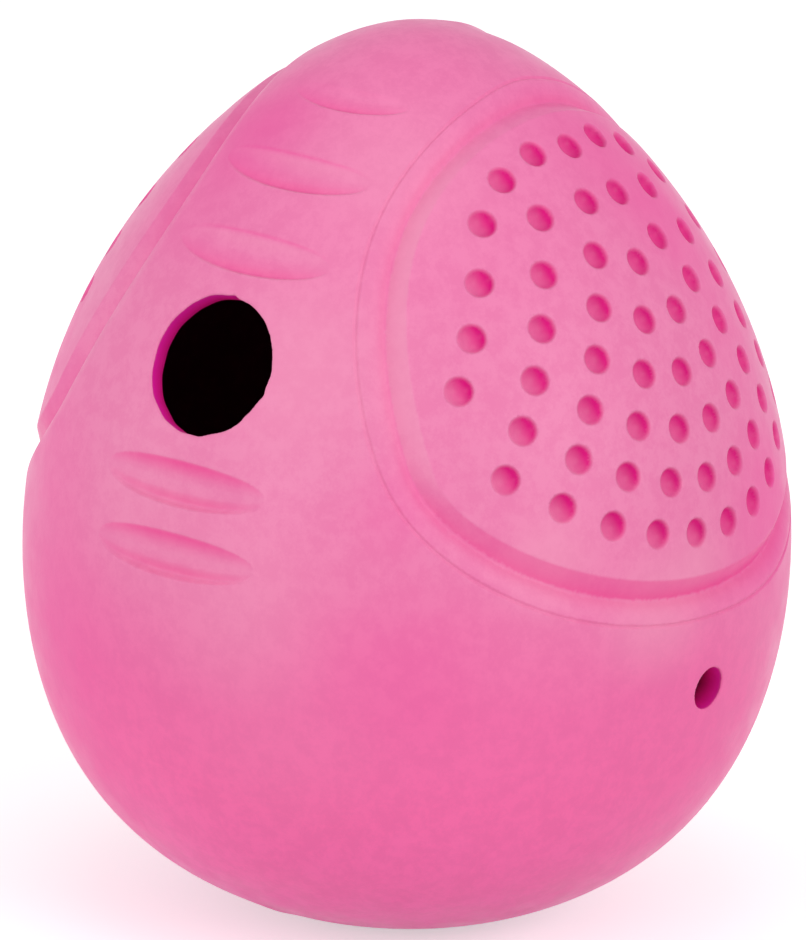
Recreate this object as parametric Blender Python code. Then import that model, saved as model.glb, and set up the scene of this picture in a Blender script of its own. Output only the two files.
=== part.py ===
# A hollow rubber treat egg. Two moulded half shells are bonded on the plane x = 0. The thick round
# end holds a steel weight under a rubber floor, so that the egg rolls back upright, and treats
# fall out of the mouth in the front. Metres, +Z up, with the origin at the middle of the foot.
import math

import bmesh
import bpy
from mathutils import Matrix, Vector

# Egg body, tip upwards
body_diameter = 0.080
body_height = 0.095
foot_depth = 0.0005
taper_share = 0.160
belly_share = 0.013
tip_share = -0.123
wall = 0.0032
bond_line = 0.0002

# Dimpled panel, one on each side: a raised island inside a groove with a steep inner wall and a
# long outer flank. Both outlines share one centre and are drawn in the side view, where the
# crease at the flank's end keeps its gaps to the egg's outline.
panel_place_share = 0.6053
crease_side_gap = 0.0058
crease_top_gap = 0.0040
crease_drop = 0.0178
crease_rise_power_share = 1.85
crease_drop_power_share = 2.3
groove_side_width = 0.0035
groove_top_width = 0.0030
groove_bottom_width = 0.0048
island_power_share = 2.0
groove_depth = 0.0011
groove_floor_share = 0.28
flank_share = 0.60
flank_depth_share = 0.42

# Dimples, in rings round one point near the top of the island, a sixth of a full ring apart
fan_top_gap = 0.0027
fan_side_gap = 0.0040
fan_bottom_gap = 0.0045
ring_counts = (1, 4, 7, 8, 9, 10, 11, 10)
full_ring_step = math.radians(60)
drawn_in_ring = 2
drawn_in_turn = math.radians(80)
dimple_diameter = 0.0031
dimple_depth = 0.0010

# Mouth in the front, square to the skin, with a straight lip and a chamfer inside
mouth_place_share = 0.6874
mouth_diameter = 0.0146
mouth_lip = 0.0020

# Vent below the right panel
vent_gap = 0.0078
vent_diameter = 0.0045

# Leaf marks on the front and the back, each a groove round a low ridge: shares of the egg's
# height, of the longest mark and of the widest one
leaf_half_length = 0.0109
leaf_width = 0.0047
leaf_depth = 0.0007
leaf_mark_shares = (
    (0.940, 0.74, 0.68),
    (0.873, 0.89, 0.81),
    (0.795, 0.945, 0.89),
    (0.564, 1, 1),
    (0.488, 1, 1),
)
leaf_fullness_share = 0.8
leaf_section_shares = ((-1.0, 0.0), (-0.72, 1.0), (0.0, 0.15), (0.72, 1.0), (1.0, 0.0))

# Weight and floor in the base
base_wall = 0.0040
ledge_width = 0.0035
weight_thickness = 0.0070
weight_edge = 0.0008
floor_thickness = 0.0025
floor_edge = 0.0006
fit_gap = 0.0003

overrun = 0.003
weld = 0.000001
sharp_angle = math.radians(38)
panel_rays = 64
crowding_share = 0.22
island_rings = 4
outer_rings = 10
turned_steps = 48
cavity_steps = 36
cavity_rows = 12
mouth_steps = 32
vent_steps = 16
leaf_stations = 10
dimple_sides = 8
dimple_rows = 5

half_height = (body_height + foot_depth) / 2


def fullness(cosine):
    return 1 - taper_share * cosine + belly_share * cosine ** 2 + tip_share * cosine ** 3


def fullness_slope(cosine):
    return -taper_share + 2 * belly_share * cosine + 3 * tip_share * cosine ** 2


girth_samples = 400
widest_share = max(
    math.sin(math.pi * i / girth_samples) * fullness(math.cos(math.pi * i / girth_samples))
    for i in range(girth_samples)
)
girth_radius = body_diameter / 2 / widest_share


def cosine_at(height):
    return max(-1, min(1, (height + foot_depth) / half_height - 1))


def egg_radius(height):
    cosine = cosine_at(height)
    return girth_radius * math.sqrt(1 - cosine ** 2) * fullness(cosine)


def outward(point):
    # The egg's outward direction at a point of its skin: half the slope of its squared radius.
    cosine = cosine_at(point.z)
    full = fullness(cosine)
    squared = -cosine * full ** 2 + (1 - cosine ** 2) * full * fullness_slope(cosine)
    return Vector((point.x, point.y, -girth_radius ** 2 / half_height * squared)).normalized()


def side_skin(across, height, inset=0):
    # The point of the right half's skin that the side view shows at this place.
    depth = math.sqrt(max(0, egg_radius(height) ** 2 - across ** 2))
    point = Vector((depth, across, height))
    return point - outward(point) * inset


def front_skin(along, height, face, inset=0):
    # A point of the skin at this length along the parallel, from the middle of the front or back.
    radius = egg_radius(height)
    turn = along / radius
    point = Vector((radius * math.sin(turn), face * radius * math.cos(turn), height))
    return point - outward(point) * inset


def lining(turn, inset):
    # Radius and height of a surface this far inside the skin; turn runs from the tip down.
    height = half_height * (1 + math.cos(turn)) - foot_depth
    point = Vector((egg_radius(height), 0, height))
    point -= outward(point) * inset
    return max(0, point.x), point.z


def turn_where(inset, reached):
    # Halves the range of turns until the lining is where reached() changes.
    upper, lower = 0, math.pi
    for _ in range(48):
        middle = (upper + lower) / 2
        if reached(lining(middle, inset)):
            lower = middle
        else:
            upper = middle
    return lower


def new_object(name, mesh_source, place=Vector()):
    mesh = bpy.data.meshes.new(name)
    mesh_source.to_mesh(mesh)
    mesh_source.free()
    made = bpy.data.objects.new(name, mesh)
    bpy.context.scene.collection.objects.link(made)
    made.location = place
    return made


def new_cutter(name, mesh_source, place=Vector()):
    made = new_object(name, mesh_source, place)
    made.hide_render = True
    made.display_type = "WIRE"
    return made


def turned(profile, steps):
    # A closed solid turned about Z from (radius, height) points that start and end on the axis.
    solid = bmesh.new()
    points = [solid.verts.new((radius, 0, height)) for radius, height in profile]
    lines = [solid.edges.new(pair) for pair in zip(points, points[1:])]
    bmesh.ops.spin(solid, geom=points + lines, cent=(0, 0, 0), axis=(0, 0, 1),
                   angle=2 * math.pi, steps=steps, use_merge=True)
    bmesh.ops.remove_doubles(solid, verts=solid.verts, dist=weld)
    bmesh.ops.recalc_face_normals(solid, faces=solid.faces)
    return solid


def soften_rims(solid, height, amount):
    # Rounds the sharp rims at and above this height.
    rims = [edge for edge in solid.edges
            if min(v.co.z for v in edge.verts) > height - weld
            and len(edge.link_faces) == 2 and edge.calc_face_angle() > sharp_angle]
    bmesh.ops.bevel(solid, geom=rims, offset=amount, segments=2, profile=0.5, affect="EDGES")


def rubber(name, colour, roughness, metallic=0):
    made = bpy.data.materials.new(name)
    made.use_nodes = True
    surface = made.node_tree.nodes["Principled BSDF"]
    surface.inputs["Base Color"].default_value = (*colour, 1)
    surface.inputs["Roughness"].default_value = roughness
    surface.inputs["Metallic"].default_value = metallic
    made.diffuse_color = (*colour, 1)
    return made


def cut(body, cutters):
    for cutter in cutters:
        step = body.modifiers.new(cutter.name, "BOOLEAN")
        step.operation = "DIFFERENCE"
        step.solver = "EXACT"
        step.object = cutter


def finish(body, material):
    # Makes the cuts final and shades the body round, with its real edges sharp.
    bpy.context.view_layer.update()
    cut_mesh = bpy.data.meshes.new_from_object(body.evaluated_get(bpy.context.evaluated_depsgraph_get()))
    body.modifiers.clear()
    body.data = cut_mesh
    body.data.materials.clear()
    body.data.materials.append(material)
    body.data.shade_smooth()
    body.data.set_sharp_from_angle(angle=sharp_angle)


# Places on the skin, and the panel's outlines, by the turn from straight down in the side view
panel_height = panel_place_share * body_height
mouth_height = mouth_place_share * body_height
vent_height = panel_height - crease_drop - vent_gap
crease_half_width = egg_radius(panel_height) - crease_side_gap
crease_rise = body_height - crease_top_gap - panel_height
island_half_width = crease_half_width - groove_side_width
island_rise = crease_rise - groove_top_width
island_drop = crease_drop - groove_bottom_width


def oval(turn, half_width, rise, drop, rise_power, drop_power):
    upwards = -math.cos(turn)
    reach, power = (rise, rise_power) if upwards > 0 else (drop, drop_power)
    return (abs(math.sin(turn) / half_width) ** power + abs(upwards / reach) ** power) ** (-1 / power)


def island_reach(turn):
    return oval(turn, island_half_width, island_rise, island_drop, island_power_share, island_power_share)


def crease_reach(turn):
    return oval(turn, crease_half_width, crease_rise, crease_drop,
                crease_rise_power_share, crease_drop_power_share)


def bond_reach(turn):
    # How far the side view's outline of the egg lies from the panel's centre.
    inner, outer = 0, body_height + body_diameter
    for _ in range(48):
        middle = (inner + outer) / 2
        height = panel_height - middle * math.cos(turn)
        inside = abs(middle * math.sin(turn)) < egg_radius(height)
        inner, outer = (middle, outer) if inside else (inner, middle)
    return inner


def panel_point(turn, reach, inset=0):
    return side_skin(reach * math.sin(turn), panel_height - reach * math.cos(turn), inset)


def half_egg(side):
    # Loops round the panel's centre, from the middle of the island out to the bonded face. The
    # rays crowd together downwards, where the egg reaches furthest.
    turns = [2 * math.pi * i / panel_rays for i in range(panel_rays)]
    turns = [turn - crowding_share * math.sin(turn) for turn in turns]
    loops = []
    for ring in range(1, island_rings + 1):
        share = ring / (island_rings + 1)
        loops.append([panel_point(t, share * island_reach(t)) for t in turns])
    for share, inset in ((0, 0), (groove_floor_share, groove_depth),
                         (flank_share, flank_depth_share * groove_depth), (1, 0)):
        loops.append([panel_point(t, island_reach(t) + share * (crease_reach(t) - island_reach(t)), inset)
                      for t in turns])
    for ring in range(1, outer_rings + 1):
        loop = []
        for t in turns:
            whole = bond_reach(t)
            start = math.asin(min(1, crease_reach(t) / whole))
            bend = start + (math.pi / 2 - start) * ring / outer_rings
            loop.append(panel_point(t, whole * math.sin(bend)))
        loops.append(loop)
    for point in loops[-1]:
        point.x = 0

    solid = bmesh.new()
    rings = []
    for loop in loops:
        points = [solid.verts.new((side * p.x, p.y, p.z)) for p in loop]
        rings.append([solid.edges.new((points[i - 1], points[i])) for i in range(panel_rays)])
    for inner, outer in zip(rings, rings[1:]):
        bmesh.ops.bridge_loops(solid, edges=inner + outer)
    middle = bmesh.ops.contextual_create(solid, geom=rings[0])["faces"]
    hub = bmesh.ops.poke(solid, faces=middle)["verts"][0]
    top = side_skin(0, panel_height)
    hub.co = (side * top.x, top.y, top.z)
    bmesh.ops.contextual_create(solid, geom=rings[-1])
    bmesh.ops.recalc_face_normals(solid, faces=solid.faces)
    # The bonded face stands half a bond line off the middle, and the foot is cut flat.
    for place, direction in (((side * bond_line / 2, 0, 0), (-side, 0, 0)), ((0, 0, 0), (0, 0, -1))):
        everything = solid.verts[:] + solid.edges[:] + solid.faces[:]
        found = bmesh.ops.bisect_plane(solid, geom=everything, dist=weld, plane_co=place,
                                       plane_no=direction, clear_outer=True)["geom_cut"]
        rim = [part for part in found if isinstance(part, bmesh.types.BMEdge)]
        bmesh.ops.contextual_create(solid, geom=rim)
    bmesh.ops.recalc_face_normals(solid, faces=solid.faces)
    return solid


# Heights in the base, from the foot up
pocket_floor = base_wall - foot_depth
weight_seat = pocket_floor + fit_gap
ledge_height = weight_seat + weight_thickness
floor_seat = ledge_height + fit_gap
floor_top = floor_seat + floor_thickness
ledge_turn = turn_where(wall, lambda point: point[1] < ledge_height)
pocket_radius = lining(ledge_turn, wall)[0] - ledge_width
weight_radius = pocket_radius - fit_gap


def dome(inset, radius, rows):
    # The underside of the pocket or of the weight, from the axis out to this radius.
    last = turn_where(inset, lambda point: point[0] < radius and point[1] < ledge_height)
    return [lining(math.pi + (last - math.pi) * i / rows, inset) for i in range(rows + 1)]


def cavity_profile():
    rows = [lining(ledge_turn * i / cavity_rows, wall) for i in range(cavity_rows + 1)]
    pocket = dome(base_wall, pocket_radius, island_rings)
    return ([(0, rows[0][1])] + rows[1:] + [(pocket_radius, ledge_height)]
            + pocket[:0:-1] + [(0, pocket[0][1])])


def mouth_cutter():
    radius = mouth_diameter / 2
    sag = radius ** 2 / body_diameter
    chamfer = wall - mouth_lip
    inner = sag + mouth_lip
    solid = turned([(0, overrun), (radius, overrun), (radius, -inner),
                    (radius + chamfer + overrun, -inner - chamfer - overrun),
                    (0, -inner - chamfer - overrun)], mouth_steps)
    place = front_skin(0, mouth_height, -1)
    bmesh.ops.rotate(solid, verts=solid.verts, cent=(0, 0, 0),
                     matrix=outward(place).to_track_quat("Z", "X").to_matrix())
    return new_cutter("mouth_cutter", solid, place)


def vent_cutter():
    solid = bmesh.new()
    reach = 2 * (wall + overrun)
    bmesh.ops.create_cone(solid, cap_ends=True, segments=vent_steps, radius1=vent_diameter / 2,
                          radius2=vent_diameter / 2, depth=reach,
                          matrix=Matrix.Rotation(math.pi / 2, 4, "Y"))
    return new_cutter("vent_cutter", solid, side_skin(0, vent_height))


def leaf_cutter():
    # Each leaf is a row of like sections across the mark, bridged from tip to tip.
    solid = bmesh.new()
    for face in (-1, 1):
        for height_share, length_share, width_share in leaf_mark_shares:
            height = height_share * body_height
            half_length = length_share * leaf_half_length
            skin = front_skin(0, height, face)
            rise = width_share * leaf_width / 2 * math.hypot(outward(skin).x, outward(skin).y)
            previous, first = None, None
            for station in range(1, leaf_stations):
                share = 2 * station / leaf_stations - 1
                narrow = (1 - share ** 2) ** leaf_fullness_share
                section = [(across * rise * narrow, deep * leaf_depth * narrow)
                           for across, deep in leaf_section_shares]
                section += [(rise * narrow, -overrun), (-rise * narrow, -overrun)]
                points = [solid.verts.new(front_skin(share * half_length, height + up, face, inset))
                          for up, inset in section]
                ring = [solid.edges.new((points[i - 1], points[i])) for i in range(len(points))]
                if previous:
                    bmesh.ops.bridge_loops(solid, edges=previous + ring)
                first = first or ring
                previous = ring
            for end in (first, previous):
                bmesh.ops.contextual_create(solid, geom=end)
    bmesh.ops.recalc_face_normals(solid, faces=solid.faces)
    return new_cutter("leaf_cutter", solid)


def dimple_places():
    # Places in ring pitches from the fan's point, spread over the island up to the named gaps.
    spots = []
    for ring, count in enumerate(ring_counts):
        step = full_ring_step / max(1, ring)
        for i in range(count):
            turn = (i - (count - 1) / 2) * step
            if ring == drawn_in_ring:
                turn = max(-drawn_in_turn, min(drawn_in_turn, turn))
            spots.append((ring * math.sin(turn), ring * math.cos(turn)))
    fan_height = panel_height + island_rise - fan_top_gap
    lowest = panel_height - island_drop + fan_bottom_gap
    pitch_across = (island_half_width - fan_side_gap) / max(across for across, _ in spots)
    pitch_down = (fan_height - lowest) / max(down for _, down in spots)
    return [(across * pitch_across, fan_height - down * pitch_down) for across, down in spots]


def dimple_cutter(name, side):
    ball = (dimple_diameter ** 2 / 4 + dimple_depth ** 2) / (2 * dimple_depth)
    solid = bmesh.new()
    for across, height in dimple_places():
        skin = side_skin(across, height)
        normal = outward(skin)
        centre = skin + normal * (ball - dimple_depth)
        upright = Vector((side * normal.x, normal.y, normal.z)).to_track_quat("Z", "Y")
        place = Matrix.Translation((side * centre.x, centre.y, centre.z)) @ upright.to_matrix().to_4x4()
        bmesh.ops.create_uvsphere(solid, u_segments=dimple_sides, v_segments=dimple_rows,
                                  radius=ball, matrix=place)
    return new_cutter(name, solid)


for left_over in list(bpy.data.objects):
    bpy.data.objects.remove(left_over, do_unlink=True)

egg = bpy.data.objects.new("treat_egg", None)
bpy.context.scene.collection.objects.link(egg)

cavity = new_cutter("cavity_cutter", turned(cavity_profile(), cavity_steps))
mouth = mouth_cutter()
vent = vent_cutter()
leaves = leaf_cutter()

pink = (0.79, 0.19, 0.38)
right_shell = new_object("right_shell", half_egg(1))
cut(right_shell, (cavity, mouth, leaves, vent, dimple_cutter("right_dimples", 1)))
finish(right_shell, rubber("right_shell_rubber", pink, 0.55))

left_shell = new_object("left_shell", half_egg(-1))
cut(left_shell, (cavity, mouth, leaves, dimple_cutter("left_dimples", -1)))
finish(left_shell, rubber("left_shell_rubber", pink, 0.55))

# The steel weight, with its underside turned to the pocket and its own origin on its seat
weight_dome = [(r, z - weight_seat) for r, z in dome(base_wall + fit_gap, weight_radius, island_rings)]
weight = turned([(0, 0)] + weight_dome[1:] + [(weight_radius, weight_thickness), (0, weight_thickness)],
                turned_steps)
soften_rims(weight, weight_thickness, weight_edge)
base_weight = new_object("base_weight", weight, Vector((0, 0, weight_seat)))
finish(base_weight, rubber("base_weight_steel", (0.42, 0.43, 0.45), 0.45, 1))

# The rubber floor on the ledge over the weight, its rim turned to the cavity's wall
floor_inset = wall + fit_gap
floor_turns = [turn_where(floor_inset, lambda point, stop=stop: point[1] < stop)
               for stop in (floor_seat, floor_top)]
floor_rim = [(r, z - floor_seat) for r, z in (lining(turn, floor_inset) for turn in floor_turns)]
floor = turned([(0, 0), (floor_rim[0][0], 0), (floor_rim[1][0], floor_thickness), (0, floor_thickness)],
               turned_steps)
soften_rims(floor, floor_thickness, floor_edge)
weight_cover = new_object("weight_cover", floor, Vector((0, 0, floor_seat)))
finish(weight_cover, rubber("weight_cover_rubber", (0.62, 0.12, 0.27), 0.6))

for piece in (right_shell, left_shell, base_weight, weight_cover):
    piece.parent = egg
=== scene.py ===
import math

import bmesh
import bpy
import numpy as np
from mathutils import Matrix, Vector


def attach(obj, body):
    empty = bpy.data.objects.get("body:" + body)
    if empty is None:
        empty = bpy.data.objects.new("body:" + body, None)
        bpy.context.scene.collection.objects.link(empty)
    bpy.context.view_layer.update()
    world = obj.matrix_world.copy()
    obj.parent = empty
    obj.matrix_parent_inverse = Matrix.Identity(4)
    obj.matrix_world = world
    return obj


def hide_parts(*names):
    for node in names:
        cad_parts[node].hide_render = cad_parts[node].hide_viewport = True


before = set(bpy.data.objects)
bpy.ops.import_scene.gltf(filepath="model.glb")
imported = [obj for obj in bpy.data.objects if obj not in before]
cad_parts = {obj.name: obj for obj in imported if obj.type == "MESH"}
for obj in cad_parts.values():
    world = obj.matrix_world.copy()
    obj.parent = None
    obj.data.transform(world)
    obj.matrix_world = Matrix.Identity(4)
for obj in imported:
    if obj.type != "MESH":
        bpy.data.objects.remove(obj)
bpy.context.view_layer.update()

# The treat egg's finish: two moulded rubber half shells with their panels, dimples, leaf marks,
# treat mouth and vent, round the steel weight and its rubber floor. Metres, tip up, mouth on -Y.
skin = {
    "diameter": 0.080, "height": 0.0946, "footDepth": 0.0005,
    "taper": 0.160, "belly": 0.013, "tip": -0.123, "wall": 0.0032, "sharpAngle": 30,
}
faraway = 1.0  # stands for the distance to a hole that isn't on this side


# The plain egg under the mould's marks, turned round the z axis
def fullness(cosine):
    return 1 - skin["taper"] * cosine + skin["belly"] * cosine ** 2 + skin["tip"] * cosine ** 3


def fullnessSlope(cosine):
    return -skin["taper"] + 2 * skin["belly"] * cosine + 3 * skin["tip"] * cosine ** 2


halfHeight = (skin["height"] + skin["footDepth"]) / 2
poleToPole = np.linspace(0, math.pi, 401)
girth = skin["diameter"] / 2 / (np.sin(poleToPole) * fullness(np.cos(poleToPole))).max()


def cosineAt(height):
    return (height + skin["footDepth"]) / halfHeight - 1


def eggRadius(height):
    cosine = np.clip(cosineAt(height), -1, 1)
    return girth * np.sqrt(1 - cosine ** 2) * fullness(cosine)


def skinSlope(points):
    # Half the slope of (distance from the axis)² less (egg radius)², which points outwards.
    cosine = cosineAt(points[:, 2])
    full = fullness(cosine)
    squared = -cosine * full ** 2 + (1 - cosine ** 2) * full * fullnessSlope(cosine)
    return np.column_stack((points[:, 0], points[:, 1], -girth ** 2 / halfHeight * squared))


def outward(points):
    slope = skinSlope(points)
    return slope / np.linalg.norm(slope, axis=1, keepdims=True)


def ontoSkin(points):
    for _ in range(3):
        cosine = cosineAt(points[:, 2])
        reach = girth ** 2 * (1 - cosine ** 2) * fullness(cosine) ** 2
        miss = points[:, 0] ** 2 + points[:, 1] ** 2 - reach
        slope = skinSlope(points)
        points = points - (miss / (2 * (slope ** 2).sum(axis=1)))[:, None] * slope
    return points


def sideSkin(across, height, side=1):
    depth = math.sqrt(max(0, eggRadius(height) ** 2 - across ** 2))
    return np.array((side * depth, across, height))


def tangents(normal):
    across = np.cross(normal, (0, 0, 1.0))
    across[np.linalg.norm(across, axis=1) < 1e-6] = (1, 0, 0)
    across /= np.linalg.norm(across, axis=1, keepdims=True)
    return across, np.cross(normal, across)


# Soft mould edges: a hard profile smoothed along its own length
def softProfile(shares, depths, softness):
    reach, step = 1.5, 0.001
    grid = np.linspace(-reach, reach, round(2 * reach / step) + 1)
    kernel = np.hanning(int(softness * 2 / step) | 1)
    return grid, np.convolve(np.interp(grid, shares, depths), kernel / kernel.sum(), "same")


def softAbove(value, blend):
    soft = np.where(value < -blend, 0, (value + blend) ** 2 / (4 * blend))
    return np.where(value > blend, value, soft)


# The side panel: share 0 on the island's edge, 1 on the crease where the groove begins. The
# valley is the groove's lowest line, and a line is scribed by the crease. 1 is right, -1 left.
panel = {
    "height": 0.0575, "creaseHalf": 0.03141, "creaseRise": 0.0335, "creaseDrop": 0.0178,
    "creaseRisePower": 1.80, "creaseDropPower": 2.3,
    "grooveSide": 0.0035, "grooveTop": 0.0030, "grooveBottom": 0.0048,
    "islandPower": 2.0, "depth": 0.00115, "softness": 0.045,
    "shares": (0.0, 0.44, 0.48, 0.60, 0.72, 0.82, 0.93, 1.0),
    "depths": (0.0, 1.0, 0.94, 0.54, 0.26, 0.10, 0.02, 0.0),
    "valley": 0.45, "scribe": 0.950, "scribeHalf": 0.050,
    "scribeDepth": {1: 0.00018, -1: 0.0}, "islandSink": {1: 0.0, -1: 0.00018},
}
grooveGrid, grooveDepths = softProfile(panel["shares"], panel["depths"], panel["softness"])
islandHalf = panel["creaseHalf"] - panel["grooveSide"]
islandRise = panel["creaseRise"] - panel["grooveTop"]
islandDrop = panel["creaseDrop"] - panel["grooveBottom"]


def oval(turn, halfWidth, rise, drop, risePower, dropPower):
    upwards = -np.cos(turn)
    reach = np.where(upwards > 0, rise, drop)
    power = np.where(upwards > 0, risePower, dropPower)
    total = np.abs(np.sin(turn) / halfWidth) ** power + np.abs(upwards / reach) ** power
    return total ** (-1 / power)


def panelShare(points):
    # The share across the groove, and the two distances in the side view.
    across, up = points[:, 1], points[:, 2] - panel["height"]
    turn = np.arctan2(across, -up)
    reach = np.hypot(across, up)
    island = oval(turn, islandHalf, islandRise, islandDrop,
                  panel["islandPower"], panel["islandPower"])
    crease = oval(turn, panel["creaseHalf"], panel["creaseRise"], panel["creaseDrop"],
                  panel["creaseRisePower"], panel["creaseDropPower"])
    return (reach - island) / (crease - island), reach - island, reach - crease


def grooveLine(points, share):
    _, toIsland, toCrease = panelShare(points)
    return toIsland - share * (toIsland - toCrease)


# Dimples in rings round a point near the island's top, with gaps to the island's edge
dimples = {
    "topGap": 0.0027, "frontGap": {1: 0.0040, -1: 0.0072}, "backGap": 0.0040, "bottomGap": 0.0045,
    "counts": (1, 4, 7, 8, 9, 10, 11, 10), "ringStep": 60, "drawnRing": 2, "drawnTurn": 80,
    "diameter": 0.0031, "depth": 0.0010, "rim": 0.00010,
}


def dimpleCentres(side):
    spots = []
    for ring, count in enumerate(dimples["counts"]):
        step = math.radians(dimples["ringStep"]) / max(1, ring)
        for i in range(count):
            turn = (i - (count - 1) / 2) * step
            if ring == dimples["drawnRing"]:
                limit = math.radians(dimples["drawnTurn"])
                turn = max(-limit, min(limit, turn))
            spots.append((ring * math.sin(turn), ring * math.cos(turn)))
    top = panel["height"] + islandRise - dimples["topGap"]
    low = panel["height"] - islandDrop + dimples["bottomGap"]
    front, back = -islandHalf + dimples["frontGap"][side], islandHalf - dimples["backGap"]
    pitchAcross = (back - front) / 2 / max(across for across, _ in spots)
    pitchDown = (top - low) / max(down for _, down in spots)
    middle = (front + back) / 2
    return np.array([sideSkin(middle + across * pitchAcross, top - down * pitchDown, side)
                     for across, down in spots])


dimpleMiddles = {1: dimpleCentres(1), -1: dimpleCentres(-1)}


def toDimple(points, side):
    # Distance to the nearest dimple's middle.
    centres = dimpleMiddles[side]
    squared = (points ** 2).sum(1)[:, None] + (centres ** 2).sum(1)[None]
    squared = squared - 2 * points @ centres.T
    return np.sqrt(np.maximum(squared.min(axis=1), 0))


# Leaf marks on the front and the back: shallow cuts with a steep lower wall, each (height,
# length, width, shift aside, depth, share of that depth at the left end, kind of painted shade)
leaves = {
    "halfLength": 0.0112, "width": 0.0048, "bluntness": 0.42, "fade": 1.0, "softness": 0.055,
    "fullFrom": 1.2, "shadePower": 0.6, "reach": 1.3,
    "marks": ((0.0893, 0.635, 0.64, 0.0009, 0.00045, 0.2, "tip"),
              (0.0829, 0.840, 0.84, -0.0003, 0.00065, 0.6, "upper"),
              (0.0755, 0.870, 0.90, -0.0004, 0.00065, 0.5, "upper"),
              (0.0536, 0.905, 1.0, 0.0, 0.00090, 0.9, "lower"),
              (0.0464, 0.905, 1.0, 0.0, 0.00090, 0.9, "lower")),
    "shares": (-1.0, -0.93, -0.85, -0.75, -0.40, -0.10, 0.15, 0.45, 0.70, 0.88, 1.0),
    "depths": (0.0, 0.60, 0.92, 1.0, 0.80, 0.80, 0.78, 0.64, 0.41, 0.19, 0.0),
}
leafCut = softProfile(leaves["shares"], leaves["depths"], leaves["softness"])
# How much deeper the colour is across each kind of mark as painted shade, or paler as a painted
# highlight where negative
leafPaintedShade = {
    "tip": ((-1.1, -1.0, -0.88, -0.55, 0.0, 0.50, 1.0),
            (0.0, -0.10, 0.36, 0.26, 0.12, -0.04, 0.0)),
    "upper": ((-1.15, -1.0, -0.88, -0.65, -0.30, 0.0, 0.35, 0.80, 0.95, 1.08, 1.22),
              (0.0, -0.22, 0.42, 0.30, 0.16, 0.07, -0.08, -0.22, 0.0, 0.34, 0.0)),
    "lower": ((-1.0, -0.88, -0.74, -0.55, -0.35, 0.0, 0.30, 0.60, 0.84, 0.93, 1.0),
              (0.0, 0.04, 0.24, 0.24, 0.03, 0.0, 0.12, 0.40, 0.62, 0.50, 0.0)),
}


def leafPlaces(points):
    # For each mark: share across it, half its width there, share along it, its full depth,
    # and its painted shade, which fades like the depth.
    for face in (-1, 1):
        azimuth = np.arctan2(points[:, 0], face * points[:, 1])
        for height, lengthShare, widthShare, aside, deepest, faint, shadeKind in leaves["marks"]:
            radius = float(eggRadius(height))
            middle = outward(np.array([(0, face * radius, height)]))[0]
            along = (azimuth * radius - aside) / (lengthShare * leaves["halfLength"])
            narrow = np.clip(1 - along ** 2, 1e-6, 1)
            half = widthShare * leaves["width"] / 2 * narrow ** leaves["bluntness"]
            across = (points[:, 2] - height) / math.hypot(middle[0], middle[1]) / half
            strength = narrow ** leaves["fade"]
            full = np.clip((1 + along) / leaves["fullFrom"], 0, 1)
            strength = strength * (faint + (1 - faint) * full)
            shading = shadeKind, strength ** leaves["shadePower"]
            yield across, half, np.abs(along), deepest * strength, shading


# The treat mouth: its trimmed edge has a slight ripple of waves, each (count, start, share),
# and nicks, each (turn, width, reach)
mouth = {
    "height": 0.0653, "diameter": 0.0146, "lip": 0.0020, "rim": 0.00030, "steps": 144,
    "ringShare": 0.4, "overrun": 0.003, "ripple": 0.00004, "waves": ((7, 1, 1.0), (17, 0, 0.5)),
    "nicks": ((-13, 4, 0.00016), (-35, 4, -0.00011), (-50, 8, 0.00006), (36, 4, 0.00006),
              (88, 3, 0.00018), (-80, 6, 0.00010), (-118, 7, 0.00008)),
}
vent = {"height": 0.0319, "diameter": 0.0045, "rim": 0.00020, "steps": 64, "cutLength": 0.012}
mouthCentre = np.array((0, -float(eggRadius(mouth["height"])), mouth["height"]))
mouthAxis = outward(mouthCentre[None])[0]
mouthUp = np.array((0, mouthAxis[2], -mouthAxis[1]))


def mouthTurn(points):
    offset = points - mouthCentre
    return np.arctan2(offset @ mouthUp, offset[:, 0]), np.hypot(offset @ mouthUp, offset[:, 0])


def mouthRadius(turn):
    ripple = sum(share * np.sin(count * turn + start) for count, start, share in mouth["waves"])
    radius = mouth["diameter"] / 2 + mouth["ripple"] * ripple
    for place, width, reach in mouth["nicks"]:
        away = (turn - math.radians(place) + math.pi) % (2 * math.pi) - math.pi
        radius = radius + reach * np.exp(-(away / math.radians(width)) ** 2)
    return radius


def mouthEdge(points):
    turn, reach = mouthTurn(points)
    return np.where(points[:, 1] < 0, reach - mouthRadius(turn), faraway)


def ventEdge(points, side):
    if side < 0:
        return np.full(len(points), faraway)
    reach = np.hypot(points[:, 1], points[:, 2] - vent["height"])
    return np.where(points[:, 0] > 0, reach - vent["diameter"] / 2, faraway)


def rolledRim(edge, radius):
    near = np.clip(radius - edge, 0, radius)
    return radius - np.sqrt(radius ** 2 - near ** 2)


# Where the halves don't quite meet: by the tip and under the front, each (place, end, rise, reach).
# The left half stands proud at the seam and the right half dips beside it.
seam = {
    "proud": 0.0036, "drop": 0.0020, "recover": 0.0032, "dip": 0.6,
    "spots": ((0.0094, 1, 0.00022, 0.0055), (-0.0212, -1, 0.00010, 0.0045)),
    "edge": 0.0004, "around": 0.003,
}


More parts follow.
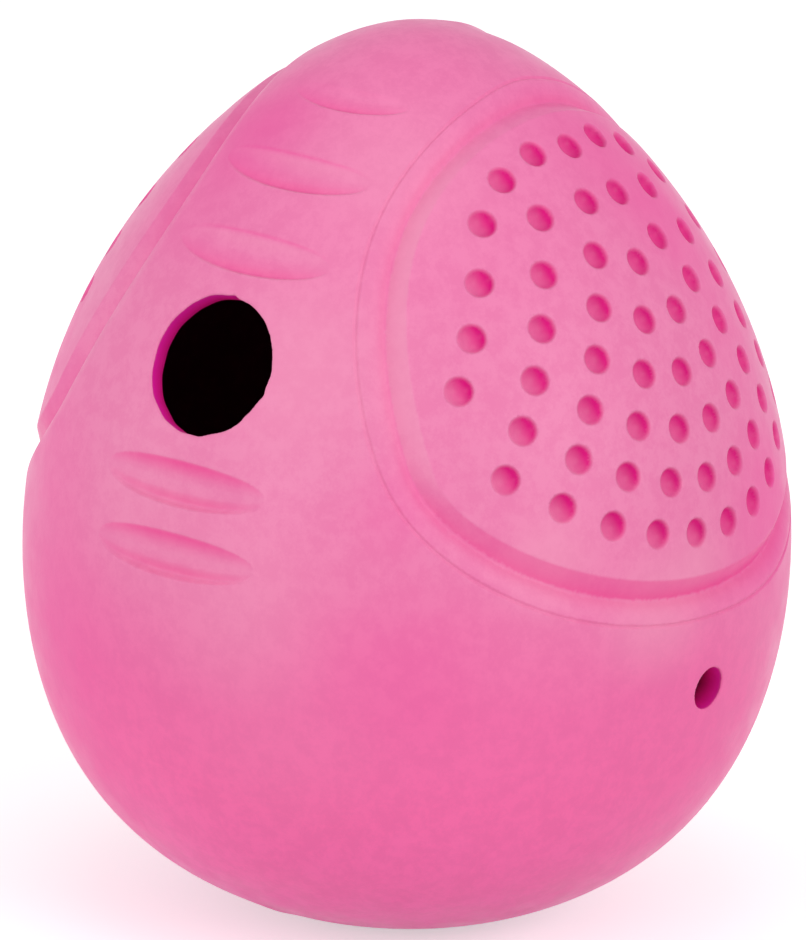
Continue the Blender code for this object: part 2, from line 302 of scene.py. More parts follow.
def seamRise(points):
    rise = np.zeros(len(points))
    across = points[:, 0]
    proud = np.clip(1 + across / seam["proud"], 0, 1) ** 2
    falling = 1 - np.clip(1 - across / seam["drop"], 0, 1) ** 2
    back = np.clip((across - seam["drop"]) / seam["recover"], 0, 1)
    dipped = 1 - (1 + seam["dip"]) * falling + seam["dip"] * back ** 2 * (3 - 2 * back)
    shape = np.where(across < 0, proud, dipped)
    for place, end, height, reach in seam["spots"]:
        along = np.exp(-((points[:, 1] - place) / reach) ** 2)
        onEnd = (points[:, 2] - skin["height"] / 2) * end > 0
        rise = rise + np.where(onEnd, height * along * shape, 0)
    return rise


def hollows(points, side):
    # How far the groove, the dimples and the leaf marks lie under the plain egg.
    share, _, _ = panelShare(points)
    groove = panel["depth"] * np.interp(share, grooveGrid, grooveDepths)
    groove = groove + panel["islandSink"][side] * np.clip(1 - share / panel["valley"], 0, 1)
    scribed = np.clip(1 - ((share - panel["scribe"]) / panel["scribeHalf"]) ** 2, 0, 1) ** 2
    groove = groove + panel["scribeDepth"][side] * scribed
    groove = np.where(points[:, 0] * side > 0, groove, 0)
    ball = (dimples["diameter"] ** 2 / 4 + dimples["depth"] ** 2) / (2 * dimples["depth"])
    reach = np.minimum(toDimple(points, side), ball)
    bowl = softAbove(np.sqrt(ball ** 2 - reach ** 2) - ball + dimples["depth"], dimples["rim"])
    leaf = np.zeros(len(points))
    for across, _, along, depth, _ in leafPlaces(points):
        depth = depth * np.interp(across, *leafCut)
        leaf = leaf + np.where((along < 1) & (np.abs(across) < leaves["reach"]), depth, 0)
    return groove, bowl, leaf


def insetAt(points, side):
    inset = sum(hollows(points, side)) - seamRise(points)
    inset = inset + rolledRim(mouthEdge(points), mouth["rim"])
    return inset + rolledRim(ventEdge(points, side), vent["rim"])


# How finely the skin is divided. Each line of the mould has (band, edge length in that band),
# and the edges grow away from it until they have the plain skin's length.
division = {
    "island": (0.00025, 0.00021), "valley": (0.00020, 0.00035), "crease": (0.00014, 0.00014),
    "dimple": (0.00018, 0.00020), "leaf": (0.00010, 0.00021), "leafInside": 0.45,
    "mouth": (0.00030, 0.00020), "vent": (0.00020, 0.00020), "plain": 0.0018, "growth": 0.40,
    "startCuts": 7, "rounds": 11, "tooLong": 1.3, "smoothing": 0.35, "drawn": 0.4,
    "probe": 0.00001, "leastSlope": 0.05,
}


def mouldLines(points, side):
    # Distances to the lines of the mould, each with its division.
    yield grooveLine(points, 0), division["island"]
    yield grooveLine(points, panel["valley"]), division["valley"]
    yield grooveLine(points, panel["scribe"]), division["crease"]
    yield toDimple(points, side) - dimples["diameter"] / 2, division["dimple"]
    for across, half, along, _, _ in leafPlaces(points):
        rim = np.maximum(np.abs(across) - 1, along - 1) * half
        yield np.where(rim > 0, rim, rim * division["leafInside"]), division["leaf"]


def edgeAt(points, side):
    # The longest edge wanted at a place: short on the mould's lines, long on the plain skin.
    longest = np.full(len(points), division["plain"])
    lines = [(mouthEdge(points), division["mouth"]), (ventEdge(points, side), division["vent"])]
    for away, (band, finest) in lines + list(mouldLines(points, side)):
        grown = division["growth"] * np.maximum(np.abs(away) - band, 0)
        longest = np.minimum(longest, finest + grown)
    for place, end, _, _ in seam["spots"]:
        away = np.hypot(points[:, 0], points[:, 1] - place) - seam["around"]
        onEnd = (points[:, 2] - skin["height"] / 2) * end > 0
        grown = division["growth"] * np.maximum(np.where(onEnd, away, faraway), 0)
        longest = np.minimum(longest, seam["edge"] + grown)
    return longest


def coordinates(shape):
    # Places of the vertices and the ends of the edges, read through a passing mesh.
    passing = bpy.data.meshes.new("passing")
    shape.to_mesh(passing)
    places = np.empty(len(passing.vertices) * 3)
    ends = np.empty(len(passing.edges) * 2, dtype=np.int32)
    passing.vertices.foreach_get("co", places)
    passing.edges.foreach_get("vertices", ends)
    bpy.data.meshes.remove(passing)
    return places.reshape(-1, 3), ends.reshape(-1, 2)


def settle(shape, places):
    for vert, place in zip(shape.verts, places.tolist()):
        vert.co = place


def moulded(places, side):
    return places - outward(places) * insetAt(places, side)[:, None]


def drawOnto(places, side, free):
    # Draws nearby points onto the mould's lines, so that its edges run clean.
    step = division["probe"]
    limit = division["drawn"] * edgeAt(places, side)
    ways = tangents(outward(places))
    for number, (away, _) in enumerate(mouldLines(places, side)):
        chosen = np.nonzero(free & (np.abs(away) < limit))[0]
        if not len(chosen):
            continue
        spots, slopes = places[chosen], []
        for way in ways:
            beside = ontoSkin(spots + way[chosen] * step)
            slopes.append((list(mouldLines(beside, side))[number][0] - away[chosen]) / step)
        steepness = slopes[0] ** 2 + slopes[1] ** 2
        pull = away[chosen] / np.maximum(steepness, division["leastSlope"])
        move = sum(way[chosen] * (slope * pull)[:, None] for way, slope in zip(ways, slopes))
        near = np.linalg.norm(move, axis=1) < limit[chosen]
        places[chosen[near]] = ontoSkin(spots[near] - move[near])
        free[chosen[near]] = False
    return places


def evenFaces(shape):
    bmesh.ops.beautify_fill(shape, faces=shape.faces[:], method="ANGLE",
                            edges=[edge for edge in shape.edges if not edge.is_boundary])


def wholeOf(shape):
    return shape.verts[:] + shape.edges[:] + shape.faces[:]


def halfSkin(side):
    # A cube rounded into one half of the egg, then split wherever its edges are too long.
    shape = bmesh.new()
    bmesh.ops.create_cube(shape, size=2)
    bmesh.ops.subdivide_edges(shape, edges=shape.edges[:], cuts=division["startCuts"],
                              use_grid_fill=True)
    bmesh.ops.bisect_plane(shape, geom=wholeOf(shape), dist=1e-5, plane_co=(0, 0, 0),
                           plane_no=(side, 0, 0), clear_inner=True)
    ball, _ = coordinates(shape)
    ball /= np.linalg.norm(ball, axis=1, keepdims=True)
    full = girth * fullness(ball[:, 2])
    settle(shape, np.column_stack((full * ball[:, 0], full * ball[:, 1],
                                   halfHeight * (1 + ball[:, 2]) - skin["footDepth"])))
    bmesh.ops.triangulate(shape, faces=shape.faces[:])
    for _ in range(division["rounds"]):
        places, ends = coordinates(shape)
        first, second = places[ends[:, 0]], places[ends[:, 1]]
        lengths = np.linalg.norm(first - second, axis=1)
        tooLong = lengths > division["tooLong"] * edgeAt(ontoSkin((first + second) / 2), side)
        if not tooLong.any():
            break
        split = [edge for edge, chosen in zip(shape.edges, tooLong) if chosen]
        bmesh.ops.subdivide_edges(shape, edges=split, cuts=1)
        bmesh.ops.triangulate(shape, faces=[face for face in shape.faces if len(face.verts) > 3])
        settle(shape, ontoSkin(coordinates(shape)[0]))
        evenFaces(shape)
        bmesh.ops.smooth_vert(shape, verts=[vert for vert in shape.verts if not vert.is_boundary],
                              factor=division["smoothing"], use_axis_x=True, use_axis_y=True,
                              use_axis_z=True)
        settle(shape, ontoSkin(coordinates(shape)[0]))
    free = np.array([not vert.is_boundary for vert in shape.verts])
    settle(shape, drawOnto(coordinates(shape)[0], side, free))
    evenFaces(shape)
    return shape


def closedHalf(side):
    # The moulded half, filled on the seam and cut flat for the foot.
    shape = halfSkin(side)
    settle(shape, moulded(coordinates(shape)[0], side))
    rim = [edge for edge in shape.edges if edge.is_boundary]
    bmesh.ops.contextual_create(shape, geom=rim)
    found = bmesh.ops.bisect_plane(shape, geom=wholeOf(shape), dist=1e-7, plane_co=(0, 0, 0),
                                   plane_no=(0, 0, -1), clear_outer=True)
    rim = [part for part in found["geom_cut"] if isinstance(part, bmesh.types.BMEdge)]
    bmesh.ops.contextual_create(shape, geom=rim)
    bmesh.ops.recalc_face_normals(shape, faces=shape.faces[:])
    return shape


def newPiece(name, shape, materials, slotIndex=0):
    mesh = bpy.data.meshes.new(name)
    for face in shape.faces:
        face.material_index = slotIndex
        face.smooth = True
    shape.to_mesh(mesh)
    shape.free()
    for material in materials:
        mesh.materials.append(material)
    piece = bpy.data.objects.new(name, mesh)
    bpy.context.scene.collection.objects.link(piece)
    return piece


# Inside: the cavity, the ledge and the pocket of the weight
base = {
    "wall": 0.0040, "ledge": 0.0035, "weight": 0.0070, "fit": 0.0003,
    "cavityRows": 48, "pocketRows": 12, "steps": 128,
}


def lining(turn, inset):
    height = halfHeight * (1 + math.cos(turn)) - skin["footDepth"]
    point = np.array([(float(eggRadius(height)), 0, height)])
    point = (point - outward(point) * inset)[0]
    return max(0, point[0]), point[2]


def turnWhere(inset, reached):
    # The turn from the tip at which the lining has got so far, by halving.
    upper, lower = 0, math.pi
    for _ in range(48):
        middle = (upper + lower) / 2
        if reached(lining(middle, inset)):
            lower = middle
        else:
            upper = middle
    return lower


def turnedShape(profile, steps):
    shape = bmesh.new()
    points = [shape.verts.new((radius, 0, height)) for radius, height in profile]
    lines = [shape.edges.new(pair) for pair in zip(points, points[1:])]
    bmesh.ops.spin(shape, geom=points + lines, cent=(0, 0, 0), axis=(0, 0, 1),
                   angle=2 * math.pi, steps=steps, use_merge=True)
    bmesh.ops.remove_doubles(shape, verts=shape.verts[:], dist=1e-6)
    bmesh.ops.recalc_face_normals(shape, faces=shape.faces[:])
    return shape


def cavityShape():
    pocketFloor = base["wall"] - skin["footDepth"]
    ledge = pocketFloor + base["fit"] + base["weight"]
    ledgeTurn = turnWhere(skin["wall"], lambda point: point[1] < ledge)
    count = base["cavityRows"]
    rows = [lining(ledgeTurn * i / count, skin["wall"]) for i in range(count + 1)]
    pocketRadius = rows[-1][0] - base["ledge"]
    last = turnWhere(base["wall"], lambda point: point[0] < pocketRadius and point[1] < ledge)
    count = base["pocketRows"]
    pocket = [lining(math.pi + (last - math.pi) * i / count, base["wall"])
              for i in range(count + 1)]
    return turnedShape([(0, rows[0][1])] + rows[1:] + [(pocketRadius, ledge)] + pocket[:0:-1]
                       + [(0, pocket[0][1])], base["steps"])


def mouthShape():
    radius, overrun = mouth["diameter"] / 2, mouth["overrun"]
    chamfer = skin["wall"] - mouth["lip"]
    inner = radius ** 2 / skin["diameter"] + mouth["lip"]
    deep = inner + chamfer + overrun
    shape = turnedShape([(0, overrun), (radius, overrun), (radius, -inner * mouth["ringShare"]),
                         (radius, -inner), (radius + chamfer + overrun, -deep), (0, -deep)],
                        mouth["steps"])
    for vert in shape.verts:
        reach = math.hypot(vert.co.x, vert.co.y)
        if reach > 0:
            turn = np.array(math.atan2(vert.co.y, vert.co.x))
            grown = reach + float(mouthRadius(turn)) - radius
            vert.co.x *= grown / reach
            vert.co.y *= grown / reach
    place = Matrix.Identity(4)
    place.col[0][:3] = (1, 0, 0)
    place.col[1][:3] = mouthUp
    place.col[2][:3] = mouthAxis
    place.translation = mouthCentre
    bmesh.ops.transform(shape, matrix=place, verts=shape.verts[:])
    bmesh.ops.recalc_face_normals(shape, faces=shape.faces[:])
    return shape


def ventShape():
    shape = bmesh.new()
    place = Matrix.Translation(sideSkin(0, vent["height"])) @ Matrix.Rotation(math.pi / 2, 4, "Y")
    bmesh.ops.create_cone(shape, cap_ends=True, segments=vent["steps"],
                          radius1=vent["diameter"] / 2, radius2=vent["diameter"] / 2,
                          depth=vent["cutLength"], matrix=place)
    return shape


def carve(piece, cutters):
    for cutter in cutters:
        step = piece.modifiers.new(cutter.name, "BOOLEAN")
        step.operation = "DIFFERENCE"
        step.solver = "MANIFOLD"
        step.material_mode = "INDEX"
        step.object = cutter
    bpy.context.view_layer.update()
    carved = bpy.data.meshes.new_from_object(
        piece.evaluated_get(bpy.context.evaluated_depsgraph_get()))
    piece.modifiers.clear()
    piece.data = carved


# Where the moulded colour is deeper or paler than on the plain skin, as painted shade and
# highlight: painted shade in the groove and on what faces down in it, a painted highlight on its
# inner wall where it faces the light, and painted shade in the dimples
paintedShading = {
    "groove": {1: 0.15, -1: 0.05}, "grooveEnd": 0.92, "under": 1.10,
    "highlightFacing": (-0.95, -1.4, 0.0), "highlightLevel": 1.4, "highlightLimits": (0.15, 0.5),
    "highlightEnd": 0.50, "fade": 0.06,
    "dimpleShade": 0.56, "dimpleShadeEdge": 0.42, "dimpleShadeFacing": (-0.48, -0.37, -0.42),
}


def within(share, end):
    return np.clip((end - share) / paintedShading["fade"], 0, 1)


def shadeSkin(piece, side):
    # Stores how deep each point lies and its painted shade and highlight, and gives the moulded
    # skin its exact direction, so that small triangles on the mould's edges shade without steps.
    mesh = piece.data
    count = len(mesh.vertices)
    places = np.empty(count * 3)
    mesh.vertices.foreach_get("co", places)
    places = places.reshape(-1, 3)
    plain = ontoSkin(places)
    normal = outward(plain)
    reach = 2 * division["probe"]
    slopes = []
    for direction in tangents(normal):
        ahead, behind = ontoSkin(plain + direction * reach), ontoSkin(plain - direction * reach)
        slopes.append(moulded(ahead, side) - moulded(behind, side))
    exact = np.cross(slopes[0], slopes[1])
    exact /= np.linalg.norm(exact, axis=1, keepdims=True)
    exact *= np.sign((exact * normal).sum(axis=1, keepdims=True))

    groove, bowl, _ = hollows(plain, side)
    # painted shade on the walls that face down more than the plain skin
    under = np.clip(-exact[:, 2], 0, 1) - np.clip(-normal[:, 2], 0, 1)
    turned = exact - normal
    share, _, _ = panelShare(plain)
    highlightLeast, highlightMost = paintedShading["highlightLimits"]
    # painted highlight on the groove's inner wall where it is turned towards the light
    highlit = turned @ np.array(paintedShading["highlightFacing"]) - paintedShading["highlightLevel"] * np.abs(turned[:, 2])
    highlit = np.clip(highlit - highlightLeast, 0, highlightMost) * within(share, paintedShading["highlightEnd"])
    # painted shade, deeper down the groove
    recessShade = paintedShading["groove"][side] * (groove / panel["depth"]) ** 2
    paintedShade = recessShade + paintedShading["under"] * under - highlit
    paintedShade = (bowl == 0) * within(share, paintedShading["grooveEnd"]) * (groove > 0) * paintedShade
    # painted shade and painted highlight across the leaf marks
    for across, _, along, _, (shadeKind, strength) in leafPlaces(plain):
        paintedShade = paintedShade + np.where(along < 1, strength * np.interp(across, *leafPaintedShade[shadeKind]), 0)
    # painted shade in the dimples, deeper down and on the walls turned one way
    dimpleShade = np.clip(bowl / dimples["depth"] / paintedShading["dimpleShadeEdge"], 0, 1)
    dimpleShade = dimpleShade * np.clip(paintedShading["dimpleShade"] + turned @ np.array(paintedShading["dimpleShadeFacing"]), 0, 1)
    depth = np.linalg.norm(places - plain, axis=1) * 1000  # in millimetres
    # painted shade is stored where positive, painted highlight where negative
    for name, values in (("depthMm", depth), ("paintedShade", np.clip(paintedShade, 0, 1)),
                         ("paintedHighlight", np.clip(-paintedShade, 0, 1)), ("dimpleShade", dimpleShade)):
        stored = mesh.attributes.new(name, "FLOAT", "POINT")
        stored.data.foreach_set("value", values.astype(np.float32))

    faces = len(mesh.polygons)
    starts, totals, slots = (np.empty(faces, dtype=np.int32) for _ in range(3))
    used = np.empty(len(mesh.loops), dtype=np.int32)
    mesh.polygons.foreach_get("loop_start", starts)
    mesh.polygons.foreach_get("loop_total", totals)
    mesh.polygons.foreach_get("material_index", slots)
    mesh.loops.foreach_get("vertex_index", used)
    offSeam = np.maximum.reduceat(np.abs(places[used, 0]), starts) > 1e-7
    offFoot = np.maximum.reduceat(places[used, 2], starts) > 1e-7
    onSkin = (slots == 0) & offSeam & offFoot
    mesh.polygons.foreach_set("use_smooth", onSkin | (slots == 1))
    mesh.set_sharp_from_angle(angle=math.radians(skin["sharpAngle"]))
    corners = np.where(np.repeat(onSkin, totals)[:, None], exact[used], 0)
    mesh.normals_split_custom_set(corners.tolist())


# Materials
def paint(name, colour, roughness):
    material = bpy.data.materials.new(name)
    material.use_nodes = True
    tree = material.node_tree
    surface = tree.nodes["Principled BSDF"]
    surface.inputs["Base Color"].default_value = (*colour, 1)
    surface.inputs["Roughness"].default_value = roughness
    return material, tree, surface


def objectPlace(tree):
    return tree.nodes.new("ShaderNodeTexCoord").outputs["Object"]


def noiseOn(tree, place, scale, detail, roughness=0.5):
    texture = tree.nodes.new("ShaderNodeTexNoise")
    texture.inputs["Scale"].default_value = scale
    texture.inputs["Detail"].default_value = detail
    texture.inputs["Roughness"].default_value = roughness
    tree.links.new(place, texture.inputs["Vector"])
    return texture.outputs["Fac"]


def ramp(tree, source, stops):
    # Each stop is (position, colour or grey level).
    made = tree.nodes.new("ShaderNodeValToRGB")
    points = made.color_ramp.elements
    while len(points) < len(stops):
        points.new(0.5)
    for point, (position, colour) in zip(points, stops):
        point.position = position
        point.color = (*(colour if isinstance(colour, tuple) else (colour,) * 3), 1)
    tree.links.new(source, made.inputs["Fac"])
    return made.outputs["Color"]


def mixed(tree, factor, first, second, blend="MIX"):
    made = tree.nodes.new("ShaderNodeMix")
    made.data_type = "RGBA"
    made.blend_type = blend
    sockets = {"factor": made.inputs[0], "first": made.inputs[6], "second": made.inputs[7]}
    for key, value in (("factor", factor), ("first", first), ("second", second)):
        if isinstance(value, bpy.types.NodeSocket):
            tree.links.new(value, sockets[key])
        else:
            sockets[key].default_value = value
    return made.outputs[2]


def reckon(tree, operation, first, second):
    made = tree.nodes.new("ShaderNodeMath")
    made.operation = operation
    for socket, value in zip(made.inputs, (first, second)):
        if isinstance(value, bpy.types.NodeSocket):
            tree.links.new(value, socket)
        else:
            socket.default_value = value
    return made.outputs[0]


def ownValue(tree, name):
    stored = tree.nodes.new("ShaderNodeAttribute")
    stored.attribute_name = name
    return stored.outputs["Fac"]


def clouded(tree, value, place, scale, detail, amount):
    cloud = reckon(tree, "SUBTRACT", noiseOn(tree, place, scale, detail), 0.5)
    return reckon(tree, "ADD", value, reckon(tree, "MULTIPLY", cloud, amount))


def raised(tree, surface, source, strength, distance):
    bump = tree.nodes.new("ShaderNodeBump")
    bump.inputs["Strength"].default_value = strength
    bump.inputs["Distance"].default_value = distance
    tree.links.new(source, bump.inputs["Height"])
    tree.links.new(bump.outputs["Normal"], surface.inputs["Normal"])


def finished(tree, place, surface, colour, finish):
    # The colour, an uneven dullness, and the fine grain of a moulded or cut surface.
    tree.links.new(colour, surface.inputs["Base Color"])
    scale, detail = finish["dullNoise"]
    dull = ramp(tree, noiseOn(tree, place, scale, detail), finish["roughness"])
    tree.links.new(dull, surface.inputs["Roughness"])
    scale, strength, distance = finish["grain"]
    raised(tree, surface, noiseOn(tree, place, scale, 4, 0.6), strength, distance)
    surface.inputs["Specular IOR Level"].default_value = finish["specular"]


# The rubber: deep pink with painted light on it. Its bands by height are palest round the middle
# and deepest low down, as painted light and shade, patches add painted highlights and painted
# shade, and the hollows and the walls that face down get painted shade in the deep colour. Bands
# are (height, colour), and patches (place, reach, how much paler, deeper where negative). Noise is
# (scale, detail), and grain (scale, strength, height).
rubber = {
    "shadedColourBands": ((0.000, (0.91, 0.138, 0.495)), (0.012, (0.92, 0.163, 0.432)),
              (0.022, (0.92, 0.156, 0.402)), (0.032, (0.87, 0.157, 0.392)),
              (0.044, (0.83, 0.210, 0.418)), (0.056, (0.82, 0.235, 0.434)),
              (0.070, (0.83, 0.230, 0.436)), (0.086, (0.85, 0.208, 0.432)),
              (0.096, (0.87, 0.204, 0.434))),
    "cloud": (42, 3, 0.012), "mottleNoise": (420, 4, 0.8), "mottle": (0.74, 0.130, 0.340),
    "mottled": ((0.41, 0.0), (0.59, 0.32)),
    "highlightColour": (0.87, 0.345, 0.500), "shadeColour": (0.84, 0.090, 0.350),
    "lightAndShadePatches": (((0.0098, -0.0177, 0.0842), 0.015, 0.28), ((0.0100, -0.0320, 0.0670), 0.016, 0.36),
                ((0.0085, -0.0385, 0.0435), 0.014, 0.24), ((0.0125, -0.0370, 0.0290), 0.016, 0.10),
                ((0.0337, -0.0201, 0.0487), 0.008, 0.40), ((0.0395, -0.0025, 0.0461), 0.006, 0.30),
                ((0.0380, -0.0080, 0.0420), 0.010, 0.45), ((-0.0040, -0.0385, 0.0512), 0.013, 0.22),
                ((-0.0243, -0.0311, 0.0507), 0.017, -0.45),
                ((-0.0190, -0.0350, 0.0330), 0.019, -0.60),
                ((-0.0160, -0.0330, 0.0180), 0.015, -0.50),
                ((-0.0300, -0.0200, 0.0600), 0.013, -0.85),
                ((-0.0275, -0.0110, 0.0725), 0.012, -0.70),
                ((0.0249, -0.0312, 0.0388), 0.013, -0.30),
                ((0.0226, -0.0307, 0.0539), 0.008, -0.30),
                ((-0.0080, -0.0168, 0.0858), 0.011, -0.65),
                ((-0.0117, -0.0236, 0.0785), 0.013, -0.30),
                ((0.0178, 0.0050, 0.0853), 0.013, -0.45), ((0.0240, 0.0105, 0.0780), 0.014, -0.75),
                ((0.0310, 0.0140, 0.0660), 0.013, -0.45), ((0.0370, 0.0150, 0.0480), 0.017, -0.85),
                ((0.0364, 0.0080, 0.0218), 0.017, -0.45)),
    # colours of the painted shade in the hollows and in the dimples
    "deep": (0.87, 0.012, 0.265), "dimpleShadeColour": (0.70, 0.006, 0.215),
    "dullNoise": (300, 2), "roughness": ((0.3, 0.31), (0.7, 0.41)),
    "grain": (1500, 0.20, 0.0001), "specular": 0.12,
}
# The cut walls of the mouth and the vent, by share of the span in millimetres, deepening with depth
# as painted shade, and the unlit lining, painted near black as shade
bore = {
    "span": 4.0, "cloud": (500, 2, 0.05),
    "stops": ((0.0, (0.88, 0.09, 0.40)), (0.10, (0.94, 0.016, 0.42)), (0.36, (0.88, 0.010, 0.30)),
              (0.60, (0.60, 0.009, 0.15)), (0.80, (0.18, 0.005, 0.035)),
              (0.88, (0.10, 0.005, 0.007))),
    "dullNoise": (700, 2), "roughness": ((0.3, 0.42), (0.7, 0.6)),
    "grain": (2400, 0.18, 0.0001), "specular": 0.12,
}


# a patch of painted highlight, or of painted shade where the amount is negative
def paintedPatch(tree, place, colour, spot, reach, amount):
    away = tree.nodes.new("ShaderNodeVectorMath")
    away.operation = "DISTANCE"
    away.inputs[1].default_value = spot
    tree.links.new(place, away.inputs[0])
    soft = tree.nodes.new("ShaderNodeMapRange")
    soft.interpolation_type = "SMOOTHSTEP"
    soft.inputs["From Max"].default_value = reach
    soft.inputs["To Min"].default_value = abs(amount)
    soft.inputs["To Max"].default_value = 0
    tree.links.new(away.outputs["Value"], soft.inputs["Value"])
    towards = rubber["highlightColour"] if amount > 0 else rubber["shadeColour"]
    return mixed(tree, soft.outputs["Result"], colour, (*towards, 1))


def rubberSkin():
    material, tree, surface = paint("pinkRubber", rubber["shadedColourBands"][4][1], 0.5)
    place = objectPlace(tree)
    split = tree.nodes.new("ShaderNodeSeparateXYZ")
    tree.links.new(place, split.inputs["Vector"])
    top = rubber["shadedColourBands"][-1][0]
    # bands by height of the rubber's pink, with painted light and shade
    height = clouded(tree, split.outputs["Z"], place, *rubber["cloud"])
    share = reckon(tree, "MULTIPLY", height, 1 / top)
    colour = ramp(tree, share, [(at / top, band) for at, band in rubber["shadedColourBands"]])
    speck = ramp(tree, noiseOn(tree, place, *rubber["mottleNoise"]), rubber["mottled"])
    colour = mixed(tree, speck, colour, (*rubber["mottle"], 1))
    # patches of painted highlight and painted shade
    for patch in rubber["lightAndShadePatches"]:
        colour = paintedPatch(tree, place, colour, *patch)
    # mixes in the stored painted highlight, the painted shade and the dimples' painted shade
    for stored, towards in (("paintedHighlight", "highlightColour"), ("paintedShade", "deep"), ("dimpleShade", "dimpleShadeColour")):
        colour = mixed(tree, ownValue(tree, stored), colour, (*rubber[towards], 1))
    finished(tree, place, surface, colour, rubber)
    return material


def boreSkin():
    material, tree, surface = paint("boreRubber", bore["stops"][1][1], 0.5)
    place = objectPlace(tree)
    # painted shade, deepening with depth into the cut walls
    depth = reckon(tree, "MULTIPLY", ownValue(tree, "depthMm"), 1 / bore["span"])
    depth = clouded(tree, depth, place, *bore["cloud"])
    finished(tree, place, surface, ramp(tree, depth, bore["stops"]), bore)
    return material


# The turned steel weight, with rings from the tool and stains
weight = {
    "colour": (0.56, 0.57, 0.59), "dark": (0.36, 0.37, 0.39), "stainNoise": (120, 5, 0.6),
    "stained": (0.35, 0.62), "ringScale": 900, "ringWander": 0.6, "ringShare": 0.35,
    "roughness": ((0.2, 0.24), (0.8, 0.42)), "cuts": (0.25, 0.00005), "brushed": 0.4,
}


def turnedSteel():
    material, tree, surface = paint("turnedSteel", weight["colour"], 0.32)
    place = objectPlace(tree)
    rings = tree.nodes.new("ShaderNodeTexWave")
    rings.wave_type = "RINGS"
    rings.rings_direction = "Z"
    rings.inputs["Scale"].default_value = weight["ringScale"]
    rings.inputs["Distortion"].default_value = weight["ringWander"]
    rings.inputs["Detail"].default_value = 2
    tree.links.new(place, rings.inputs["Vector"])
    stain = ramp(tree, noiseOn(tree, place, *weight["stainNoise"]),
                 list(zip(weight["stained"], (weight["dark"], weight["colour"]))))
    colour = mixed(tree, weight["ringShare"], stain, rings.outputs["Color"], "SOFT_LIGHT")
    tree.links.new(colour, surface.inputs["Base Color"])
    dull = ramp(tree, rings.outputs["Fac"], weight["roughness"])
    tree.links.new(dull, surface.inputs["Roughness"])
    raised(tree, surface, rings.outputs["Fac"], *weight["cuts"])
    surface.inputs["Metallic"].default_value = 1
    surface.inputs["Anisotropic"].default_value = weight["brushed"]
    return material


# The rubber floor over the weight, with treat dust on it
cover = {
    "colour": (0.72, 0.17, 0.37), "pale": (0.80, 0.27, 0.46), "cloudNoise": (140, 4),
    "clouded": (0.35, 0.7), "dusty": (0.86, 0.52, 0.62), "dustNoise": (900, 6, 0.7),
    "dusted": ((0.60, 0.0), (0.78, 0.5)),
    "dullNoise": (400, 3), "roughness": ((0.3, 0.55), (0.7, 0.72)),
    "grain": (1500, 0.3, 0.0002), "specular": 0.35,
}


def coverRubber():
    material, tree, surface = paint("coverRubber", cover["colour"], 0.6)
    place = objectPlace(tree)
    cloudy = ramp(tree, noiseOn(tree, place, *cover["cloudNoise"]),
                  list(zip(cover["clouded"], (cover["colour"], cover["pale"]))))
    dust = ramp(tree, noiseOn(tree, place, *cover["dustNoise"]), cover["dusted"])
    colour = mixed(tree, dust, cloudy, (*cover["dusty"], 1))
    finished(tree, place, surface, colour, cover)
    return material


print("materials")
pinkRubber, boreRubber = rubberSkin(), boreSkin()
for node, made in (("base_weight", turnedSteel()), ("weight_cover", coverRubber())):
    for slot in bpy.data.objects[node].material_slots:
        slot.material = made

print("cutters")
cutters = [newPiece("cavityCut", cavityShape(), (pinkRubber, boreRubber), 1),
           newPiece("mouthCut", mouthShape(), (pinkRubber, boreRubber), 1),
           newPiece("ventCut", ventShape(), (pinkRubber, boreRubber), 1)]

for name, side, used in (("right", 1, cutters), ("left", -1, cutters[:2])):
    print(name, "half shell")
    piece = newPiece(name + "HalfShell", closedHalf(side), (pinkRubber, boreRubber))
    carve(piece, used)
    shadeSkin(piece, side)
    print(name, "half shell has", len(piece.data.polygons), "faces")
    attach(piece, "root")
    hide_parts(name + "_shell")

for cutter in cutters:
    bpy.data.objects.remove(cutter)

# The stage: a pale floor, a white world as the camera sees it, and lamps, each (name, turn,
# rise, distance, size, power)
light = {
    "world": 0.54, "floorColour": 0.82, "floorGlow": 0.48, "floorRadius": 4, "floorDrop": 0.00005,
    "middle": 0.05, "floorGap": 0.01,
    "lamps": (("left", -5, 9, 1.4, 0.6, 4.9), ("right", 90, 24, 1.4, 0.8, 7.1),
              ("above", 20, 80, 1.4, 0.8, 2.2), ("side", -52, 12, 1.4, 0.7, 2.45)),
}

print("stage")
floorMesh = bpy.data.meshes.new("floor")
floorShape = bmesh.new()
bmesh.ops.create_circle(floorShape, cap_ends=True, radius=light["floorRadius"], segments=96)
floorShape.to_mesh(floorMesh)
floorShape.free()
floor = bpy.data.objects.new("floor", floorMesh)
floor.location.z = -light["floorDrop"]
bpy.context.scene.collection.objects.link(floor)


def seenRays(tree):
    # 1 for what the camera sees, also in gloss and through glass.
    path = tree.nodes.new("ShaderNodeLightPath")
    seen = reckon(tree, "MAXIMUM", path.outputs["Is Camera Ray"], path.outputs["Is Glossy Ray"])
    return reckon(tree, "MAXIMUM", seen, path.outputs["Is Transmission Ray"])


floorPaint, tree, matt = paint("paleFloor", (light["floorColour"],) * 3, 0.9)
matt.inputs["Specular IOR Level"].default_value = 0
matt.inputs["Emission Color"].default_value = (1, 1, 1, 1)
glow = reckon(tree, "MULTIPLY", seenRays(tree), light["floorGlow"])
tree.links.new(glow, matt.inputs["Emission Strength"])
floorMesh.materials.append(floorPaint)

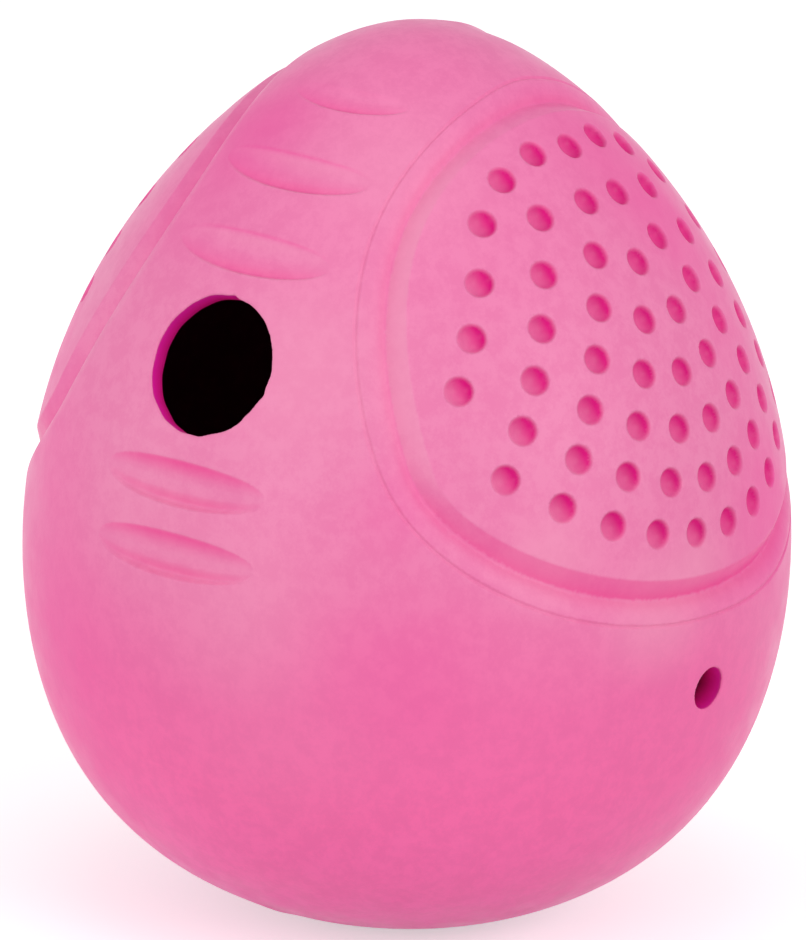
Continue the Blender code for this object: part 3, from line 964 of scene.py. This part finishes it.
world = bpy.data.worlds.new("studio")
world.use_nodes = True
bpy.context.scene.world = world
tree = world.node_tree
sky = tree.nodes["Background"]
sky.inputs["Color"].default_value = (1, 1, 1, 1)
level = tree.nodes.new("ShaderNodeMapRange")
level.inputs["To Min"].default_value = light["world"]
level.inputs["To Max"].default_value = 1.0
tree.links.new(seenRays(tree), level.inputs["Value"])
tree.links.new(level.outputs["Result"], sky.inputs["Strength"])


def outwards(turn, rise):
    # From the object towards a lamp or the camera.
    turn, rise = math.radians(turn), math.radians(rise)
    return Vector((math.sin(turn) * math.cos(rise), -math.cos(turn) * math.cos(rise),
                   math.sin(rise)))


def lamp(name, turn, rise, distance, size, power):
    data = bpy.data.lights.new(name, "AREA")
    data.shape = "DISK"
    data.size = size
    data.energy = power
    made = bpy.data.objects.new(name, data)
    bpy.context.scene.collection.objects.link(made)
    middle = Vector((0, 0, light["middle"]))
    made.location = middle + outwards(turn, rise) * distance
    lowest = size / 2 * math.cos(math.radians(rise)) + light["floorGap"]
    made.location.z = max(made.location.z, lowest)
    made.rotation_mode = "QUATERNION"
    made.rotation_quaternion = (made.location - middle).to_track_quat("Z", "Y")


for settings in light["lamps"]:
    lamp(*settings)

print("camera")
view = {
    "turn": 37.5, "rise": 16.5, "roll": 2.0, "distance": 1.03878, "lens": 382.98,
    "aim": (0, 0, 0.0471), "right": -0.000605, "up": -0.000215, "furthest": 20,
}
cameraData = bpy.data.cameras.new("camera")
cameraData.lens = view["lens"]
cameraData.clip_end = view["furthest"]
camera = bpy.data.objects.new("camera", cameraData)
bpy.context.scene.collection.objects.link(camera)
bpy.context.scene.camera = camera
back = outwards(view["turn"], view["rise"])
aimed = (-back).to_track_quat("-Z", "Y")
rolled = aimed @ Matrix.Rotation(math.radians(view["roll"]), 3, "Z").to_quaternion()
camera.rotation_mode = "QUATERNION"
camera.rotation_quaternion = rolled
camera.location = (Vector(view["aim"]) + back * view["distance"]
                   + rolled @ Vector((view["right"], view["up"], 0)))

bpy.context.scene.view_settings.view_transform = "Standard"
